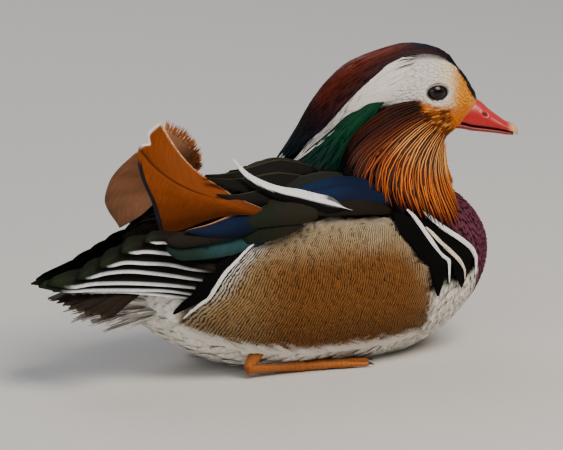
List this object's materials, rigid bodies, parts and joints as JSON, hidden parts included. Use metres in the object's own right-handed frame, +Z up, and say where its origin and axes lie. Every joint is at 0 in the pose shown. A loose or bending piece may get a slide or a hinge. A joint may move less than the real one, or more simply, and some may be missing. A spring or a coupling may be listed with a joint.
{
  "type": "mandarin duck",
  "caption": "Life-size still model of a mandarin drake at rest on its belly, with crest, cheek ruff, raised wing sails and tucked feet.",
  "frame": {"origin": "middle of the bird's bounding box, at the floor", "axes": "+X the way the body points, from tail to breast, +Y its left, +Z up"},
  "size_m": [0.2834, 0.1078, 0.1644],
  "materials": {
    "belly_feathers": "soft white body feathers",
    "breast_feathers": "glossy maroon purple feathers with white and black bars at the side",
    "nape_feathers": "dark green hair-like feathers",
    "face_feathers": "short white to golden plush feathers",
    "bill": "smooth coral red horn with a pale nail",
    "crest_feathers": "long silky feathers, rust brown to dark green",
    "back_feathers": "dark olive brown feathers",
    "tail_feathers": "brown vanes",
    "eye": "polished dark brown eye",
    "hackles": "long narrow rust orange hackles with paler shafts",
    "flank_feathers": "golden buff with fine dark wavy lines",
    "covert_feathers": "olive brown and dark blue feathers",
    "speculum_feathers": "iridescent blue green vanes",
    "flight_feathers": "dark olive vanes with silver outer edges",
    "scapular_feathers": "white vane edged with black",
    "sail_feathers": "broad orange vane with a pale fringe",
    "foot_skin": "scaly orange skin with darker webs"
  },
  "bodies": {
    "root": {"torso": "belly_feathers", "breast": "breast_feathers", "neck": "nape_feathers", "head": "face_feathers", "bill_upper": "bill", "bill_lower": "bill", "crest": "crest_feathers", "mantle": "back_feathers", "tail": "tail_feathers", "undertail": "belly_feathers", "eye_left": "eye", "ruff_left": "hackles", "flank_left": "flank_feathers", "wing_left": "covert_feathers", "secondaries_left": "speculum_feathers", "primaries_left": "flight_feathers", "scapular_left": "scapular_feathers", "sail_left": "sail_feathers", "leg_left": "foot_skin", "eye_right": "eye", "ruff_right": "hackles", "flank_right": "flank_feathers", "wing_right": "covert_feathers", "secondaries_right": "speculum_feathers", "primaries_right": "flight_feathers", "scapular_right": "scapular_feathers", "sail_right": "sail_feathers", "leg_right": "foot_skin"}
  },
  "joints": []
}
